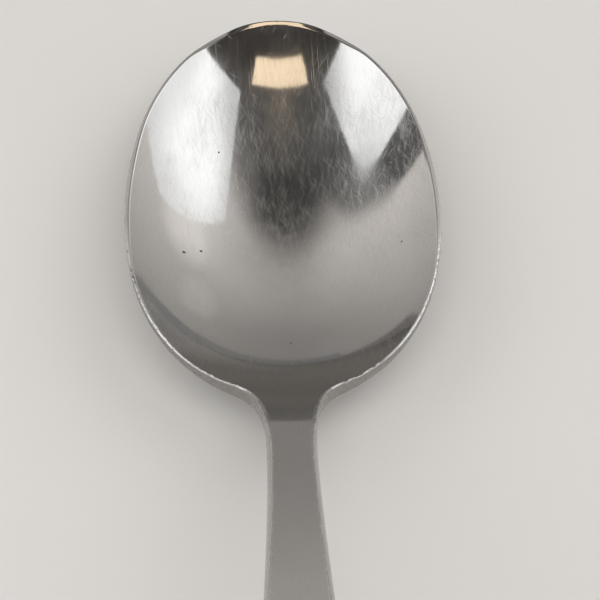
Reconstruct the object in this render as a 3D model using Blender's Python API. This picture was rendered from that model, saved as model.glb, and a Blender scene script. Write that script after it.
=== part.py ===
"""Youth spoon, stamped from one blank of stainless steel and polished.

The bowl is an egg-shaped dish, the neck is the thickest place, and the handle
arches over the table and flares to a plain round end. Half of the skin is a
loft of half-sections, which a mirror closes, and the spoon lies on its belly
and on the end of its handle. +Y points to the tip of the bowl, +Z up.
"""
import math

import bmesh
import bpy
import numpy as np

# Driving dimensions in metres; what is AT a place is measured from the tip along the spoon
LENGTH = 0.146
BOWL_LENGTH = 0.0462      # to where the egg outline would close behind the bowl
BOWL_WIDTH = 0.032
BOWL_WIDEST_AT = 0.0247
BOWL_DEPTH = 0.0070       # from the rim plane to the deepest place inside
SHOULDER_WIDTH = 0.0118   # width where the bowl's outline leaves the egg for the neck
NECK_LENGTH = 0.0090      # from the closing of the egg to the narrowest place
NECK_WIDTH = 0.0047
END_WIDTH = 0.0140
END_ROUND = 0.0065        # length of the round end of the handle

# Heights of the handle's upper face over the rim plane
NECK_RISE = 0.0052
CREST_AT = 0.088
CREST_RISE = 0.0124
END_RISE = -0.0063
END_SLOPE = -0.40         # fall of the handle at its end, as height over length

# The heel, where the dish turns into the arch, starts this far before the egg closes
HEEL_LEAD = 0.0007

# Thickness of the steel, square to its face, and where it starts to grow towards the neck
RIM_GAUGE = 0.0010
NECK_GAUGE = 0.0029
END_GAUGE = 0.0017
THICKENS_AT = 0.034

# The ground land on the rim: its width at the front and at the heel, and where it has narrowed
RIM_LAND = 0.0005
HEEL_LAND = 0.0003
NARROW_AT = 0.036

# Fall of the land outward, as height over width, at the sides and at the tip, where it faces into the bowl
SIDE_FALL = 0.20
TIP_FALL = -0.48
TIP_LENGTH = 0.0022

# How far the rounding of the handle's edge reaches in, and how square the edges turn: 2 is round
HANDLE_ROUND = 0.0007
RIM_SQUARENESS = 8.0
HANDLE_SQUARENESS = 2.2

# Depth worn flat where the belly and the end of the handle meet the table
WORN_DEPTH = 0.00008

# Fullness of the curves: the egg over a plain ellipse, the shoulder's turn, the handle's flare
EGG_FULLNESS = 0.148
SHOULDER_FULLNESS = 0.82
FLARE_POWER = 1.7

# Finish of the steel
STEEL_COLOUR = (0.55, 0.54, 0.525, 1.0)
STEEL_ROUGHNESS = 0.14

# Counts of the loft: sections along each stretch, strips across
BOWL_SECTIONS = 44
SHOULDER_SECTIONS = 10
HANDLE_SECTIONS = 24
END_SECTIONS = 8
FACE_STRIPS = 10
EDGE_STRIPS = 6
FAN_SHARE = 1 / 3         # where the middle line starts, as a share of the round stretch

SLOPE_STEP = 1e-5
SOLVING_STEPS = 50
LAYING_STEPS = 5
MERGE_DISTANCE = 1e-6

NECK_AT = BOWL_LENGTH + NECK_LENGTH
HEEL_AT = BOWL_LENGTH - HEEL_LEAD
END_AT = LENGTH - END_ROUND
EGG_SKEW = BOWL_LENGTH / BOWL_WIDEST_AT - 2


def ease(share):
    """Step from 0 to 1 with no slope and no curvature at its ends."""
    share = np.clip(share, 0.0, 1.0)
    return share ** 3 * (10 - 15 * share + 6 * share ** 2)


def egg_outline(angle):
    """Half width and distance from the tip: a full ellipse whose length is skewed into an egg."""
    share = (1 - np.cos(angle)) / 2
    half_width = BOWL_WIDTH / 2 * np.sin(angle) * np.sqrt(1 + EGG_FULLNESS * np.cos(angle) ** 2)
    return np.stack([half_width, share * BOWL_LENGTH / (1 + EGG_SKEW * (1 - share))], axis=-1)


def shoulder_angle():
    """Angle of the egg, behind its widest place, at which it is as wide as the shoulder."""
    wide, narrow = math.pi / 2, math.pi
    for _ in range(SOLVING_STEPS):
        middle = (wide + narrow) / 2
        if egg_outline(middle)[0] > SHOULDER_WIDTH / 2:
            wide = middle
        else:
            narrow = middle
    return wide


def shoulder_outline(start, heading):
    """Curve from the egg to the narrowest place, which turns near the corner of its two tangents."""
    end = np.array([NECK_WIDTH / 2, NECK_AT])
    corner = start + heading * (end[0] - start[0]) / heading[0]
    first = start + SHOULDER_FULLNESS * (corner - start)
    second = end + SHOULDER_FULLNESS * (corner - end)
    t = np.linspace(0, 1, SHOULDER_SECTIONS + 1)[1:, None]
    u = 1 - t
    return u ** 3 * start + 3 * u ** 2 * t * first + 3 * u * t ** 2 * second + t ** 3 * end


def handle_outline():
    """Edge of the handle, parallel at the neck and again where the round end begins."""
    share = np.linspace(0, 1, HANDLE_SECTIONS + 1)[1:]
    flare = share ** FLARE_POWER * (FLARE_POWER + 1 - FLARE_POWER * share)
    half_width = NECK_WIDTH / 2 + (END_WIDTH - NECK_WIDTH) / 2 * flare
    return np.stack([half_width, NECK_AT + share * (END_AT - NECK_AT)], axis=-1)


def end_outline():
    """Round end of the handle, a quarter of an ellipse."""
    angle = np.linspace(0, math.pi / 2, END_SECTIONS + 1)[1:]
    half_width = END_WIDTH / 2 * np.cos(angle)
    half_width[-1] = 0.0
    return np.stack([half_width, END_AT + END_ROUND * np.sin(angle)], axis=-1)


def outline():
    """Right half of the plan from the tip to the end, as half width and distance from the tip."""
    last_angle = shoulder_angle()
    egg = egg_outline(np.linspace(0, last_angle, BOWL_SECTIONS + 1))
    heading = egg_outline(last_angle + SLOPE_STEP) - egg[-1]
    return np.concatenate([egg, shoulder_outline(egg[-1], heading), handle_outline(), end_outline()])


def outward(points):
    """Outward directions of the outline, square to the line through the neighbours of each point."""
    mirrored = points * (-1, 1)
    closed = np.concatenate([mirrored[1:2], points, mirrored[-2:-1]])
    along = closed[2:] - closed[:-2]
    normal = np.stack([along[:, 1], -along[:, 0]], axis=-1)
    return normal / np.linalg.norm(normal, axis=1, keepdims=True)


def dish_line(s):
    """Middle line of the bowl, as deep below the rim plane as the egg is wide there."""
    share = (1 + EGG_SKEW) * s / (BOWL_LENGTH + EGG_SKEW * s)
    fill = 4 * share * (1 - share)
    return -BOWL_DEPTH * fill * (1 + EGG_FULLNESS * (1 - fill))


def arch_line(s):
    """Middle line of the handle: level at its crest, through the neck, and at its own slope at the end."""
    neck = NECK_AT - CREST_AT
    end = LENGTH - CREST_AT
    powers = np.arange(2, 5)
    conditions = np.stack([neck ** powers, end ** powers, powers * end ** (powers - 1)])
    terms = np.linalg.solve(conditions, [NECK_RISE - CREST_RISE, END_RISE - CREST_RISE, END_SLOPE])
    return CREST_RISE + sum(term * (s - CREST_AT) ** power for term, power in zip(terms, powers))


def heel_line(s):
    """Middle line of the heel, with the height, slope and curvature of its neighbours at both ends."""
    length = NECK_AT - HEEL_AT
    powers = np.arange(6)
    conditions = []
    wanted = []
    for line, place, share in ((dish_line, HEEL_AT, 0.0), (arch_line, NECK_AT, 1.0)):
        before, here, after = (line(place + step) for step in (-SLOPE_STEP, 0, SLOPE_STEP))
        slope = (after - before) / (2 * SLOPE_STEP)
        curvature = (after - 2 * here + before) / SLOPE_STEP ** 2
        wanted += [here, slope * length, curvature * length ** 2]
        conditions += [
            share ** powers,
            powers * share ** np.maximum(powers - 1, 0),
            powers * (powers - 1) * share ** np.maximum(powers - 2, 0),
        ]
    terms = np.linalg.solve(conditions, wanted)
    share = np.clip((s - HEEL_AT) / length, 0, 1)
    return sum(term * share ** power for term, power in zip(terms, powers))


def heel_turn(s):
    """Progress from bowl, 0, to handle, 1."""
    return ease((s - HEEL_AT) / (NECK_AT - HEEL_AT))


def top_height(x, s):
    """Upper face over the rim plane: its middle line, dished in the bowl and level across the handle."""
    dish = dish_line(np.minimum(s, HEEL_AT))
    line = np.where(s < HEEL_AT, dish, np.where(s < NECK_AT, heel_line(s), arch_line(s)))
    return line + BOWL_DEPTH * (2 * x / BOWL_WIDTH) ** 2 * (1 - heel_turn(s))


def gauge(s):
    """Thickness of the steel: even over the front of the bowl, thickest at the neck."""
    thicken = ease((s - THICKENS_AT) / (NECK_AT - THICKENS_AT))
    thin = ease((s - NECK_AT) / (LENGTH - NECK_AT))
    return RIM_GAUGE + (NECK_GAUGE - RIM_GAUGE) * thicken + (END_GAUGE - NECK_GAUGE) * thin


def bottom_height(x, s):
    """Lower face: the gauge below the upper face, measured square to it."""
    across = (top_height(x + SLOPE_STEP, s) - top_height(x - SLOPE_STEP, s)) / (2 * SLOPE_STEP)
    along = (top_height(x, s + SLOPE_STEP) - top_height(x, s - SLOPE_STEP)) / (2 * SLOPE_STEP)
    return top_height(x, s) - gauge(s) * np.sqrt(1 + across ** 2 + along ** 2)


def edge_reach(s):
    """How far in the edge starts to turn: the land on the rim, the rounding on the handle."""
    narrowing = ease((s - BOWL_WIDEST_AT) / (NARROW_AT - BOWL_WIDEST_AT))
    return RIM_LAND + (HEEL_LAND - RIM_LAND) * narrowing + (HANDLE_ROUND - HEEL_LAND) * heel_turn(s)


def land_fall(s):
    """Fall of the land on the rim, from the tip to the sides."""
    return TIP_FALL + (SIDE_FALL - TIP_FALL) * ease(s / TIP_LENGTH)


def half_sections():
    """Half-sections from the middle of the upper face over the edge to the middle of the lower face."""
    edge = outline()
    normal = outward(edge)
    turn = heel_turn(edge[:, 1:])
    reach = edge_reach(edge[:, 1:])
    inset = edge - normal * reach

    stations = [0.0, BOWL_WIDEST_AT, END_AT, LENGTH]
    middle_stations = [FAN_SHARE * BOWL_WIDEST_AT, BOWL_WIDEST_AT, END_AT, LENGTH - FAN_SHARE * END_ROUND]
    middle = np.interp(edge[:, 1], stations, middle_stations)
    middle = np.stack([np.zeros_like(middle), middle], axis=-1)

    share = np.linspace(0, 1, FACE_STRIPS + 1)[None, :, None]
    face = middle[:, None] + (inset - middle)[:, None] * share
    turning = np.linspace(0, math.pi, EDGE_STRIPS + 1)[1:-1]
    power = 2 / (RIM_SQUARENESS + (HANDLE_SQUARENESS - RIM_SQUARENESS) * turn)
    outer = np.sin(turning) ** power
    lean = np.sign(np.cos(turning)) * np.abs(np.cos(turning)) ** power
    rounding = inset[:, None] + (normal * reach)[:, None] * outer[..., None]
    plan = np.concatenate([face, rounding, face[:, ::-1]], axis=1)

    flat = np.ones((len(edge), FACE_STRIPS + 1))
    side = np.concatenate([flat, lean, -flat], axis=1)
    past = np.concatenate([0 * flat, reach * outer, 0 * flat], axis=1)
    upper = top_height(plan[..., 0], plan[..., 1])
    land = top_height(inset[:, :1], inset[:, 1:]) - land_fall(edge[:, 1:]) * past
    upper = np.where(past > 0, land + (upper - land) * turn, upper)
    lower = bottom_height(plan[..., 0], plan[..., 1])
    height = (upper + lower) / 2 + (upper - lower) / 2 * side
    return np.stack([plan[..., 0], -plan[..., 1], height], axis=-1)


def lay_down(points):
    """Turns the spoon about X until belly and handle end touch the table, and centres its length."""
    y, z = points[..., 1], points[..., 2]
    bowl = y > -NECK_AT
    for _ in range(LAYING_STEPS):
        belly = np.argmin(np.where(bowl, z, np.inf))
        end = np.argmin(np.where(bowl, np.inf, z))
        lean = -math.atan2(z.flat[belly] - z.flat[end], y.flat[belly] - y.flat[end])
        y, z = y * math.cos(lean) - z * math.sin(lean), y * math.sin(lean) + z * math.cos(lean)
    z = np.maximum(z - z.min() - WORN_DEPTH, 0.0)
    return np.stack([points[..., 0], y - (y.max() + y.min()) / 2, z], axis=-1)


def loft(sections, name):
    """Skin bridged from each half-section to the next."""
    skin = bmesh.new()
    chains = []
    for section in sections:
        corners = [skin.verts.new(corner) for corner in section]
        chains.append([skin.edges.new(pair) for pair in zip(corners, corners[1:])])
    for near, far in zip(chains, chains[1:]):
        bmesh.ops.bridge_loops(skin, edges=near + far)
    bmesh.ops.recalc_face_normals(skin, faces=skin.faces)
    mesh = bpy.data.meshes.new(name)
    skin.to_mesh(mesh)
    skin.free()
    mesh.shade_smooth()
    spoon = bpy.data.objects.new(name, mesh)
    bpy.context.scene.collection.objects.link(spoon)
    return spoon


def steel():
    """Polished stainless steel."""
    material = bpy.data.materials.new("polished_steel")
    material.use_nodes = True
    shader = material.node_tree.nodes["Principled BSDF"]
    shader.inputs["Base Color"].default_value = STEEL_COLOUR
    shader.inputs["Roughness"].default_value = STEEL_ROUGHNESS
    shader.inputs["Metallic"].default_value = 1.0
    return material


def build():
    """The spoon: half a skin, its mirror image and the steel."""
    for old in list(bpy.data.objects):
        bpy.data.objects.remove(old, do_unlink=True)
    spoon = loft(lay_down(half_sections()), "spoon")
    other_half = spoon.modifiers.new("other_half", "MIRROR")
    other_half.use_mirror_merge = True
    other_half.merge_threshold = MERGE_DISTANCE
    spoon.data.materials.append(steel())


build()
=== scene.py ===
import math

import bpy
import numpy as np
from mathutils import Matrix, Vector


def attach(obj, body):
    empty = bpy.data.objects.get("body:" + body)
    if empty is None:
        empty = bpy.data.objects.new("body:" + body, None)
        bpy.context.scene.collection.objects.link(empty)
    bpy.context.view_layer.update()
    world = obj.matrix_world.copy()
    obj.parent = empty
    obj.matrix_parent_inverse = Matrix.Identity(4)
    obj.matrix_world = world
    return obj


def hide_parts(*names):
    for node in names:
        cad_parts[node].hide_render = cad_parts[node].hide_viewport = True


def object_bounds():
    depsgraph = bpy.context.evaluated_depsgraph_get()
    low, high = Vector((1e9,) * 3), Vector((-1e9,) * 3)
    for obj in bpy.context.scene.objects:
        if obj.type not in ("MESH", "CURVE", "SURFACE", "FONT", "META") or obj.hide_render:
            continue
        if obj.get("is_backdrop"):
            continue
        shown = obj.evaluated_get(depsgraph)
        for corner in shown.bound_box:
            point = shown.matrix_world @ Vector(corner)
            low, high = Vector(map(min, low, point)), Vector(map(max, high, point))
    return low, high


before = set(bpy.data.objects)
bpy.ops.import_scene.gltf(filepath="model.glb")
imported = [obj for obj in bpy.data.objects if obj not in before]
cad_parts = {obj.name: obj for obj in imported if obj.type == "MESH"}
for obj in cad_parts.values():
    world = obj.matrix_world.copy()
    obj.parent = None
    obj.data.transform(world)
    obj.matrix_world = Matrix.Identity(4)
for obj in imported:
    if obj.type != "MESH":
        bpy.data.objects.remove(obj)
cad_low, cad_high = (np.array(corner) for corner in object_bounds())

# The spoon: bowl, neck and handle stamped from one blank of stainless steel and polished.
# Its edges are eased, and it lies on its belly and on the end of its handle, as the solid does.
# Sizes are in metres, and what is "at" a place is measured from the tip along the spoon.
length = 0.146
bowl_length = 0.0462       # to where the egg outline would close behind the bowl
bowl_width = 0.032
bowl_widest_at = 0.0247
bowl_depth = 0.0070        # from the rim plane to the deepest place inside
shoulder_width = 0.0118    # where the bowl's outline leaves the egg for the neck
neck_length = 0.0090       # from the closing of the egg to the narrowest place
neck_width = 0.0047
heel_lead = 0.0007         # how far before the closing of the egg the dish starts to turn into the arch
end_width = 0.0140
end_round = 0.0065         # length of the round end of the handle
neck_at = bowl_length + neck_length
heel_at = bowl_length - heel_lead
end_at = length - end_round

# Heights of the handle's upper face over the rim plane, and its slope at the end
neck_rise = 0.0052
crest_at = 0.088
crest_rise = 0.0124
end_rise = -0.0063
end_slope = -0.40

# Thickness of the steel, square to its face, and where it starts to grow towards the neck
rim_gauge = 0.0010
neck_gauge = 0.0029
end_gauge = 0.0017
thickens_at = 0.038

# The ground land on the rim: its width, and its fall outward as height over width, which changes behind
# the widest place until narrow_at. At the tip, for tip_length, it faces into the bowl.
rim_land = 0.0005
heel_land = 0.00025
narrow_at = 0.034
tip_length = 0.0022
tip_fall = -0.48
side_fall = 0.20
heel_fall = 0.50

# On the upper sides the land is slimmer by this share, which fades in up to slim_from and out to slim_end
slim_share = 0.45
slim_from = tip_length + 0.003
slim_until = 0.010
slim_end = 0.020

# How far the rounding of the handle's edge reaches in, and how square the edges turn: 2 is round
handle_round = 0.0007
rim_squareness = 12.0
handle_squareness = 2.2

# Fullness of the curves, and the depth worn flat where the spoon touches the table
egg_fullness = 0.148
egg_skew = bowl_length / bowl_widest_at - 2
shoulder_fullness = 0.82
flare_power = 1.7
worn_depth = 0.00008
nudge = 1e-5               # step for slopes and curvatures


def ease(s, start, stop):
    """Step from 0 at start to 1 at stop with no slope or curvature at its ends: 10t^3 - 15t^4 + 6t^5."""
    t = np.clip((s - start) / (stop - start), 0, 1)
    return t ** 3 * (10 - 15 * t + 6 * t ** 2)


def egg(angle):
    """Half width and distance from the tip: an ellipse, a little fuller, its length skewed into an egg."""
    share = (1 - np.cos(angle)) / 2
    half_width = bowl_width / 2 * np.sin(angle) * np.sqrt(1 + egg_fullness * np.cos(angle) ** 2)
    return np.stack([half_width, share * bowl_length / (1 + egg_skew * (1 - share))], axis=-1)


def outline(bowl_steps, shoulder_steps, handle_steps, end_steps):
    """Right half of the plan from tip to end: egg, cubic shoulder, flaring handle, quarter ellipse."""
    wide = 1 + egg_fullness
    narrowing = wide ** 2 - 4 * egg_fullness * (shoulder_width / bowl_width) ** 2
    last = math.pi - math.asin(math.sqrt((wide - math.sqrt(narrowing)) / (2 * egg_fullness)))
    bowl = egg(np.linspace(0, last, bowl_steps + 1))
    heading = egg(last + nudge) - bowl[-1]
    neck = np.array([neck_width / 2, neck_at])
    corner = bowl[-1] + heading * (neck[0] - bowl[-1, 0]) / heading[0]
    first = bowl[-1] + shoulder_fullness * (corner - bowl[-1])
    second = neck + shoulder_fullness * (corner - neck)
    t = np.linspace(0, 1, shoulder_steps + 1)[1:, None]
    shoulder = ((1 - t) ** 3 * bowl[-1] + 3 * (1 - t) ** 2 * t * first
                + 3 * (1 - t) * t ** 2 * second + t ** 3 * neck)
    t = np.linspace(0, 1, handle_steps + 1)[1:]
    flare = t ** flare_power * (flare_power + 1 - flare_power * t)
    handle = np.stack([neck[0] + (end_width - neck_width) / 2 * flare,
                       neck_at + t * (end_at - neck_at)], axis=-1)
    t = np.linspace(0, math.pi / 2, end_steps + 1)[1:]
    end = np.stack([end_width / 2 * np.cos(t), end_at + end_round * np.sin(t)], axis=-1)
    end[-1, 0] = 0
    return np.concatenate([bowl, shoulder, handle, end])


def dish_line(s):
    """Middle line of the bowl: as deep below the rim plane as the egg is wide there, so the rim is level."""
    share = (1 + egg_skew) * s / (bowl_length + egg_skew * s)
    fill = 4 * share * (1 - share)
    return -bowl_depth * fill * (1 + egg_fullness * (1 - fill))


def arch_line(s):
    """Middle line of the handle: a quartic level at its crest, through the neck and the end at its slope."""
    powers = np.arange(2, 5)
    neck, end = neck_at - crest_at, length - crest_at
    rows = np.stack([neck ** powers, end ** powers, powers * end ** (powers - 1)])
    terms = np.linalg.solve(rows, [neck_rise - crest_rise, end_rise - crest_rise, end_slope])
    return crest_rise + (terms * (s[..., None] - crest_at) ** powers).sum(-1)


def heel_line(s):
    """Middle line of the heel: the quintic with its neighbours' height, slope and curvature at both ends."""
    powers = np.arange(6)
    span = neck_at - heel_at
    rows = []
    wanted = []
    for line, place, share in ((dish_line, heel_at, 0.0), (arch_line, neck_at, 1.0)):
        before, here, after = line(place + nudge * np.array([-1, 0, 1]))
        slope = (after - before) / (2 * nudge)
        curvature = (after - 2 * here + before) / nudge ** 2
        wanted += [here, slope * span, curvature * span ** 2]
        rows += [share ** powers, powers * share ** np.maximum(powers - 1, 0),
                 powers * (powers - 1) * share ** np.maximum(powers - 2, 0)]
    terms = np.linalg.solve(rows, wanted)
    return (terms * np.clip((s[..., None] - heel_at) / span, 0, 1) ** powers).sum(-1)


def top_height(x, s):
    """Upper face over the rim plane: its middle line, plus a parabola across that fades along the heel."""
    behind = np.where(s < neck_at, heel_line(s), arch_line(s))
    line = np.where(s < heel_at, dish_line(np.minimum(s, heel_at)), behind)
    return line + bowl_depth * (2 * x / bowl_width) ** 2 * (1 - ease(s, heel_at, neck_at))


def bottom_height(x, s):
    """Lower face: the gauge below the upper face, measured square to it."""
    across = (top_height(x + nudge, s) - top_height(x - nudge, s)) / (2 * nudge)
    along = (top_height(x, s + nudge) - top_height(x, s - nudge)) / (2 * nudge)
    gauge = (rim_gauge + (neck_gauge - rim_gauge) * ease(s, thickens_at, neck_at)
             + (end_gauge - neck_gauge) * ease(s, neck_at, length))
    return top_height(x, s) - gauge * np.sqrt(1 + across ** 2 + along ** 2)


def edge_reach(s):
    """How far in from the outline the edge starts to turn: the land's width, or the handle's rounding."""
    land = rim_land + (heel_land - rim_land) * ease(s, bowl_widest_at, narrow_at)
    slimmed = slim_share * ease(s, tip_length, slim_from) * ease(s, slim_end, slim_until)
    return land * (1 - slimmed) + (handle_round - heel_land) * ease(s, heel_at, neck_at)


def land_fall(s):
    """Fall of the land, as height over width: from tip to sides, and again behind the widest place."""
    return (tip_fall + (side_fall - tip_fall) * ease(s, 0, tip_length)
            + (heel_fall - side_fall) * ease(s, bowl_widest_at, narrow_at))


def half_skin(edge, face_steps, edge_steps):
    """Right half: each station along the edge carries a strip of the upper face from the middle line, a
    rounded-square turn of the edge, and the lower face back to the middle line. Also how far out it turns."""
    mirrored = edge * (-1, 1)
    closed = np.concatenate([mirrored[1:2], edge, mirrored[-2:-1]])
    normal = (closed[2:] - closed[:-2])[:, ::-1] * (1, -1)
    normal = normal / np.linalg.norm(normal, axis=1, keepdims=True)
    s = edge[:, 1:]
    turn = ease(s, heel_at, neck_at)
    reach = edge_reach(s)
    inset = edge - normal * reach
    middle = np.interp(edge[:, 1], [0, bowl_widest_at, end_at, length],
                       [bowl_widest_at / 3, bowl_widest_at, end_at, length - end_round / 3])
    middle = np.stack([np.zeros_like(middle), middle], axis=-1)
    crowding = 0.7  # how much the strips gather towards the edge
    share = np.linspace(0, 1, face_steps + 1)[:, None]
    share = crowding * np.sin(math.pi / 2 * share) + (1 - crowding) * share
    face = middle[:, None] + (inset - middle)[:, None] * share
    share = np.linspace(-1, 1, edge_steps + 1)[1:-1]
    angle = math.pi / 2 + np.sign(share) * np.arccos((1 - np.abs(share)) ** 3)
    power = 2 / (rim_squareness + (handle_squareness - rim_squareness) * turn)
    outer = np.sin(angle) ** power
    lean = np.sign(np.cos(angle)) * np.abs(np.cos(angle)) ** power
    round_edge = inset[:, None] + (normal * reach)[:, None] * outer[..., None]
    plan = np.concatenate([face, round_edge, face[:, ::-1]], axis=1)
    flat = np.ones((len(edge), face_steps + 1))
    side = np.concatenate([flat, lean, -flat], axis=1)
    turned_out = np.concatenate([0 * flat, outer, 0 * flat], axis=1)
    land = top_height(inset[:, :1], inset[:, 1:]) - land_fall(s) * reach * turned_out
    upper = top_height(plan[..., 0], plan[..., 1])
    upper = np.where(turned_out > 0, land + (upper - land) * turn, upper)
    lower = bottom_height(plan[..., 0], plan[..., 1])
    height = (upper + lower) / 2 + (upper - lower) / 2 * side
    return np.stack([plan[..., 0], -plan[..., 1], height], axis=-1), turned_out


def lay_down(points):
    """Turns about X until belly and handle end touch the table, wears both flat, and fits the solid's box."""
    x, y, z = np.moveaxis(points, -1, 0)
    bowl = y > -neck_at
    for _ in range(5):
        belly = np.argmin(np.where(bowl, z, np.inf))
        end = np.argmin(np.where(bowl, np.inf, z))
        lean = -math.atan2(z.flat[belly] - z.flat[end], y.flat[belly] - y.flat[end])
        y, z = y * math.cos(lean) - z * math.sin(lean), y * math.sin(lean) + z * math.cos(lean)
    laid = np.stack([x, y, np.maximum(z - z.min() - worn_depth, 0)], axis=-1)
    low, high = laid.min(axis=(0, 1)), laid.max(axis=(0, 1))
    low[0] = -high[0]
    return cad_low + (laid - low) * (cad_high - cad_low) / (high - low)


def closed_skin(half, mark):
    """Mesh of a half skin and its mirror image: rings of quads, zipped shut at the tip and at the end."""
    rows, columns = half.shape[:2]
    points = np.concatenate([half, half[:, -2:0:-1] * (-1, 1, 1)], axis=1)
    marks = np.concatenate([mark, mark[:, -2:0:-1]], axis=1)
    around = points.shape[1]
    number = np.arange(rows * around).reshape(rows, around)
    number[[0, -1], columns:] = number[[0, -1], columns - 2:0:-1]
    after = np.roll(number, -1, axis=1)
    quads = np.stack([number[:-1], number[1:], after[1:], after[:-1]], axis=-1).reshape(-1, 4)
    used, quads = np.unique(quads, return_inverse=True)
    return points.reshape(-1, 3)[used], quads.reshape(-1, 4), marks.reshape(-1)[used]


stations = outline(bowl_steps=200, shoulder_steps=36, handle_steps=90, end_steps=30)
half, turned_out = half_skin(stations, face_steps=36, edge_steps=20)
points, quads, turned_out = closed_skin(lay_down(half), turned_out)
mesh = bpy.data.meshes.new("polished_spoon")
mesh.from_pydata(points, [], quads, shade_flat=False)
mesh.attributes.new("edge", "FLOAT", "POINT").data.foreach_set("value", turned_out.astype(np.float32))
spoon = bpy.data.objects.new("polished_spoon", mesh)
bpy.context.scene.collection.objects.link(spoon)


class Shade:
    """One output in a shader tree. Sums and products of it add Math nodes to that tree."""

    def __init__(self, socket):
        self.socket = socket

    def node(self, kind, settings=(), sockets=(), output=0):
        """Adds a node: its settings first, then the values or links of its sockets."""
        tree = self.socket.id_data
        made = tree.nodes.new(kind)
        for name, value in dict(settings).items():
            setattr(made, name, value)
        for name, value in dict(sockets).items():
            if isinstance(value, Shade):
                tree.links.new(value.socket, made.inputs[name])
            else:
                made.inputs[name].default_value = value
        return Shade(made.outputs[output])

    def math(self, operation, *numbers):
        return self.node("ShaderNodeMath", {"operation": operation}, enumerate(numbers))

    def vector(self, operation, *others, output=0):
        return self.node("ShaderNodeVectorMath", {"operation": operation}, enumerate((self, *others)), output)

    def __add__(self, other):
        return self.math("ADD", self, other)

    def __sub__(self, other):
        return self.math("SUBTRACT", self, other)

    def __rsub__(self, other):
        return self.math("SUBTRACT", other, self)

    def __mul__(self, other):
        return self.math("MULTIPLY", self, other)

    __radd__ = __add__
    __rmul__ = __mul__

    def rise(self, low, high):
        """Smooth step from 0 where this is low to 1 where it is high."""
        return self.node("ShaderNodeMapRange", {"interpolation_type": "SMOOTHSTEP"},
                         {"Value": self, "From Min": low, "From Max": high})

    def mix(self, first, second):
        """The first colour where this is 0, the second where it is 1."""
        return self.node("ShaderNodeMix", {"data_type": "RGBA"},
                         {"Factor": self, 6: first, 7: second}, output=2)

    def parts(self):
        """A vector's three parts, each by itself."""
        split = self.node("ShaderNodeSeparateXYZ", {}, {"Vector": self}).socket.node
        return [Shade(socket) for socket in split.outputs]

    def feed(self, node, name):
        self.socket.id_data.links.new(self.socket, node.inputs[name])


def blank(name):
    """A new material with its shader and the Object coordinates in it."""
    material = bpy.data.materials.new(name)
    material.use_nodes = True
    nodes = material.node_tree.nodes
    return material, nodes["Principled BSDF"], Shade(nodes.new("ShaderNodeTexCoord").outputs["Object"])


def streaks(place, turn, width, run, low, high, start):
    """Hairlines of that width and length, turned from the spoon's axis: the peaks of a stretched noise."""
    stretched = place.node("ShaderNodeMapping", {"vector_type": "TEXTURE"},
                           {"Vector": place, "Location": (start, start, 0), "Rotation": (0, 0, turn),
                            "Scale": (width, run, 1)})
    noise = place.node("ShaderNodeTexNoise", {"noise_dimensions": "2D"},
                       {"Vector": stretched, "Scale": 1.0, "Detail": 1.0})
    return noise.rise(low, high)


def clouds(place, size, low, high):
    """Soft patches of about that size."""
    noise = place.node("ShaderNodeTexNoise", {}, {"Vector": place, "Scale": 1 / size, "Detail": 3.0})
    return noise.rise(low, high)


steel, shader, place = blank("polished_steel")
across, along, above = place.parts()
flat = place.vector("MULTIPLY", (1, 1, 0))
edge = place.node("ShaderNodeAttribute", {"attribute_name": "edge"}, output="Fac")
inside = 1.0 - edge

# Where a face lies about level, and where it stands upright or belongs to the handle
_, _, facing = Shade(place.socket.node.outputs["Normal"]).parts()
facing = facing.math("ABSOLUTE", facing)
level = facing.rise(0.35, 0.75)
upright = facing.math("MAXIMUM", facing.rise(0.6, 0.2), along.rise(0.0205, 0.0195))

# Marks of the polish and of use on the level faces: fine strokes, stronger towards the tip, and scratches.
# Each row gives a turn in radians, width, length, the range of the noise that shows, and a starting place.
fine_strokes = ((0.10, 0.00034, 0.0032, 0.40, 0.80, 1.7), (-0.28, 0.00030, 0.0026, 0.42, 0.82, 2.9),
                (0.55, 0.00030, 0.0020, 0.46, 0.84, 4.1))
deep_scratches = ((0.05, 0.00008, 0.0070, 0.74, 0.82, 5.3), (-0.60, 0.00008, 0.0030, 0.77, 0.85, 6.7),
                  (1.10, 0.00008, 0.0024, 0.78, 0.86, 8.2))
strokes = level * (0.4 + 0.6 * along.rise(0.038, 0.048)) * sum(streaks(place, *row) for row in fine_strokes)
scratches = level * sum(streaks(place, *row) for row in deep_scratches)

# Dark pits in the bowl, each with its place and radius, and a patch rubbed hazy on the bowl's right
pits = 0.0
for x, y, size in ((-0.01007, 0.04611, 0.00022), (-0.00836, 0.04680, 0.00018), (0.00049, 0.03534, 0.00013),
                   (-0.00638, 0.05898, 0.00012), (0.01204, 0.04606, 0.00012)):
    pits = flat.vector("DISTANCE", (x, y, 0), output="Value").rise(size, size * 0.3) + pits
hazy_patch = flat.vector("DISTANCE", (0.0070, 0.0525, 0), output="Value").rise(0.0065, 0.0030)

# Just under the rim behind the widest place the polish is tired, most on the left. The rim plane rises
# towards the tip, because the spoon lies on its belly.
rim_slope = 0.315
brim = ((above - rim_slope * along).rise(-0.0053, -0.0047) * along.rise(0.0400, 0.0370)
        * along.rise(0.0270, 0.0290))
left_brim = brim * across.rise(0.0020, -0.0020)

# In the heel, stopping short at the neck, a painted shade darkens the colour and the gloss is a little
# duller; it is matt on its way there
before_neck = along.rise(0.0213, 0.0220)
heel_dull_and_shade = along.rise(0.0335, 0.0305) * before_neck
matt = along.rise(0.0300, 0.0270) * before_neck

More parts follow.
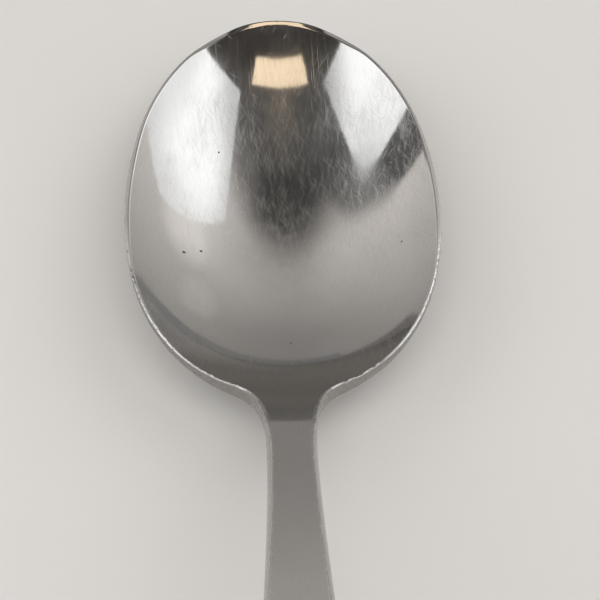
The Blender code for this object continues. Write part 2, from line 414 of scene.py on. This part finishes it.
# Patchy haze, slow waves left by the press, nicks in the edges that are deeper behind the widest place, and
# scuffs where the spoon touches the table
haze = clouds(place, 0.005, 0.36, 0.66)
waves = clouds(place, 0.009, 0.0, 1.0)
nicks = edge * (1.0 + 9.0 * along.rise(0.0450, 0.0410)) * clouds(place, 0.0006, 0.46, 0.70)
scuffs = above.rise(0.0016, 0.0002) * clouds(place, 0.0012, 0.42, 0.62)

# Heights are in units of the bump's distance. A painted shade darkens the colour of the heel and of the
# upright edges and handle sides, not the land.
height = waves * 6.0 - nicks * 4.0 - scratches * 0.6 - strokes * 0.1 - pits * 10.0
bump = place.node("ShaderNodeBump", {}, {"Strength": 1.0, "Distance": 2.0e-6, "Height": height})
stain = haze.mix((0.55, 0.54, 0.525, 1), (0.53, 0.52, 0.50, 1))
# painted shade: the heel and the upright edges and handle sides are darkened towards the dark grey, standing
# in for the shade they reflect
painted_shade = heel_dull_and_shade * inside + edge * upright * (0.6 + 0.4 * along.rise(0.0245, 0.0275))
colour = pits.mix(painted_shade.mix(stain, (0.33, 0.32, 0.305, 1)), (0.05, 0.048, 0.045, 1))
rough = (0.055 + haze * 0.02 + edge * 0.05 + inside * (heel_dull_and_shade * 0.04 + matt * 0.14) + hazy_patch * 0.09
         + left_brim * 0.12)
colour.feed(shader, "Base Color")
rough.feed(shader, "Roughness")
bump.feed(shader, "Normal")
shader.inputs["Metallic"].default_value = 1.0

# Worn places show a coarser gloss through the polish, less so at the front of the bowl
scuffed = place.node("ShaderNodeBsdfPrincipled", {},
                     {"Base Color": colour, "Metallic": 1.0, "Roughness": 0.36, "Normal": bump})
rubbed = 1.0 - 0.85 * along.rise(0.064, 0.070)
wear = (rubbed * (0.06 + haze * 0.08 + strokes * (0.08 + haze * 0.20)) + scratches * 0.12 + scuffs * 0.6
        + brim * 0.18 + left_brim * 0.12)
worn = place.node("ShaderNodeMixShader", {}, {0: wear, 1: Shade(shader.outputs[0]), 2: scuffed})
worn.feed(steel.node_tree.nodes["Material Output"], "Surface")
mesh.materials.append(steel)
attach(spoon, "root")
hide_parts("spoon")

# The table top that the spoon lies on: a pale, plain, matt laminate, far larger than the spoon.
# It is no part of the spoon.
half_table = 3.0
corners = half_table * np.array([(-1, -1, 0), (1, -1, 0), (1, 1, 0), (-1, 1, 0)])
mesh = bpy.data.meshes.new("table_top")
mesh.from_pydata(corners, [], [(0, 1, 2, 3)])
table = bpy.data.objects.new("table_top", mesh)
bpy.context.scene.collection.objects.link(table)
laminate, shader, place = blank("pale_laminate")
mottle = clouds(place, 0.05, 0.3, 0.7).mix((0.76, 0.745, 0.72, 1), (0.775, 0.76, 0.735, 1))
mottle.feed(shader, "Base Color")
shader.inputs["Roughness"].default_value = 0.6
mesh.materials.append(laminate)
table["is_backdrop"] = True

# The studio: grey walls, lighter to either side and in a few soft pools, under a dark ceiling, and cards
# that glow: a graded soft box on either side, lamps overhead and behind the camera, and two dim flags.
# None is part of the spoon. Directions are parts of a unit vector: across to the right, ahead and above.
world = bpy.data.worlds.new("grey_studio")
world.use_nodes = True
bpy.context.scene.world = world
backdrop = world.node_tree.nodes["Background"]
heading = Shade(world.node_tree.nodes.new("ShaderNodeTexCoord").outputs["Generated"])
across, ahead, above = heading.parts()


def sine(degrees):
    """How far above the level a direction points that is raised by that angle."""
    return math.sin(math.radians(degrees))


def pool(centre, reach):
    """A soft round pool of light in that direction, which ends where the cosine falls to the reach."""
    return heading.vector("DOT_PRODUCT", centre, output="Value").rise(reach, 1.0)


wall = (0.35 + 0.20 * above.rise(sine(18), sine(46))
        + across * across * (1.0 - 0.15 * across) * (0.25 + 1.4 * above))
for glow, centre, reach in ((0.32, (0.680, 0.540, 0.495), 0.983), (0.06, (0.600, 0.555, 0.577), 0.985),
                            (0.13, (0.532, 0.779, 0.332), 0.99)):
    wall = wall + glow * pool(centre, reach)
skirting_glow = 0.155
skirting = ahead.rise(0.6, 0.8) * across.rise(-0.55, -0.51) * above.rise(sine(4.7), sine(3.2))
wall = wall - skirting * (wall - skirting_glow)
behind = ahead.rise(0.0, -0.2)
zenith = above.rise(sine(80), sine(86))
ceiling = (above + 0.15 * behind - 0.05 * across).rise(sine(48.5), sine(65))
gloom = (0.058 + 0.05 * ahead.rise(0.27, 0.17) * ahead.rise(-0.25, -0.12) + 0.06 * zenith
         + 0.12 * pool((0.364, 0.280, 0.888), 0.978))
(wall - ceiling * (wall - gloom)).feed(backdrop, "Strength")
warmth = zenith + 0.6 * ceiling * behind
warmth.mix((1.0, 0.957, 0.925, 1), (1.0, 0.88, 0.76, 1)).feed(backdrop, "Color")
bowl_middle = np.array([0, 0.048, 0.003])


def card(name, corners, off, colour, strength):
    """A flat glowing card that far off the bowl. Each corner is given in degrees: turned from straight
    ahead to the right, and raised. The corners are moved in or out into one plane."""
    turned, raised = np.radians(corners).T
    corners = np.stack([np.sin(turned) * np.cos(raised), np.cos(turned) * np.cos(raised), np.sin(raised)],
                       axis=-1)
    facing = np.cross(corners[1] - corners[0], corners[2] - corners[0])
    corners = bowl_middle + off * corners * ((corners[0] @ facing) / (corners @ facing))[:, None]
    mesh = bpy.data.meshes.new(name)
    mesh.from_pydata(corners, [], [range(len(corners))])
    made = bpy.data.objects.new(name, mesh)
    bpy.context.scene.collection.objects.link(made)
    cover, shader, place = blank(name)
    shader.inputs["Base Color"].default_value = (0.02, 0.02, 0.02, 1)
    shader.inputs["Specular IOR Level"].default_value = 0.0
    shader.inputs["Emission Color"].default_value = colour
    shader.inputs["Emission Strength"].default_value = strength
    mesh.materials.append(cover)
    made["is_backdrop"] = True
    return made, shader, place


def seen_from_bowl(place):
    """Direction from the bowl to a place on a card: how far across, ahead and above it lies."""
    return place.vector("SUBTRACT", tuple(bowl_middle)).vector("NORMALIZE").parts()


white = (1, 1, 1, 1)
daylight = (0.965, 0.98, 1, 1)
_, shader, place = card("right_soft_box", [(103, 22.5), (97.8, 68), (45.3, 46.8), (49.5, 38.9), (52.3, 32.7),
                                           (55.3, 27), (58.3, 23.2)], 1.0, white, 1.92)
across, ahead, above = seen_from_bowl(place)
hot = (above.rise(sine(18), sine(38)) * across.rise(0.42, 0.62) * (1.0 - 0.30 * ahead.rise(0.3, 0.5))
       * (1.0 - 0.55 * (across - 0.45 * ahead).rise(0.62, 0.74)))
hot.mix((0.53, 0.54, 0.55, 1), daylight).feed(shader, "Emission Color")
_, shader, place = card("left_soft_box", [(-99.3, 65.5), (-58.5, 42.8), (-78, 21.5), (-117.5, 21)],
                        1.0, white, 1.85)
across, ahead, above = seen_from_bowl(place)
hot = above.rise(sine(68), sine(50)) * ahead.rise(0.5, 0.05) + 0.35 * across.rise(-0.66, -0.80)
hot.mix((0.385, 0.39, 0.4, 1), daylight).feed(shader, "Emission Color")
_, shader, place = card("left_flag", [(-99.3, 65.5), (-58.5, 42.8), (-78, 21.5), (-63.8, 20.5), (-57.3, 29.7),
                                      (-46.6, 46), (-45.3, 56.4), (-45, 70)], 0.95, white, 0.11)
_, ahead, _ = seen_from_bowl(place)
ahead.rise(0.27, 0.17).mix((0.55, 0.55, 0.55, 1), white).feed(shader, "Emission Color")
card("warm_lamp", [(134.5, 72.5), (-134.1, 72.3), (-109, 73.2), (110.6, 73.4)],
     1.0, (1.0, 0.80, 0.57, 1), 1.7)

# The fill lights only the polish, the table lamp only what is matt, and the low dim flag beyond the tip
# keeps the far table out of the polish
fill_box, _, _ = card("fill_box", [(115, 48), (-115, 48), (-115, 18), (115, 18)], 1.2, white, 1.7)
fill_box.visible_diffuse = False
table_lamp, _, _ = card("table_lamp", [(80, 74), (128, 43), (-128, 43), (-80, 74)],
                        1.2, (0.985, 0.99, 1, 1), 2.6)
table_lamp.visible_glossy = False
far_flag, _, _ = card("far_flag", [(-12, 9), (40, 9), (40, -1.5), (-12, -1.5)], 0.09, white, 0.25)
far_flag.visible_camera = False
far_flag.visible_diffuse = False
far_flag.visible_shadow = False

# The camera looks down along the handle from a little to the left, close by, with a long lens.
# It aims at the lower half of the bowl, turned, raised and rolled by these angles.
turned = math.radians(-3.079)
raised = math.radians(57.0)
rolled = math.radians(1.405)
aimed_at = Vector((0.001385, 0.037230, 0.008))
distance = 0.22
back = Vector((math.sin(turned) * math.cos(raised), -math.cos(turned) * math.cos(raised), math.sin(raised)))
right = Vector((math.cos(turned), math.sin(turned), 0))
up = back.cross(right)
right, up = right * math.cos(rolled) + up * math.sin(rolled), up * math.cos(rolled) - right * math.sin(rolled)
camera = bpy.data.objects.new("camera", bpy.data.cameras.new("camera"))
camera.matrix_world = (Matrix.Translation(aimed_at + distance * back)
                       @ Matrix((right, up, back)).transposed().to_4x4())
camera.data.lens = 134.5
camera.data.clip_start = 0.01
bpy.context.scene.collection.objects.link(camera)
bpy.context.scene.camera = camera
bpy.context.scene.view_settings.view_transform = "Standard"
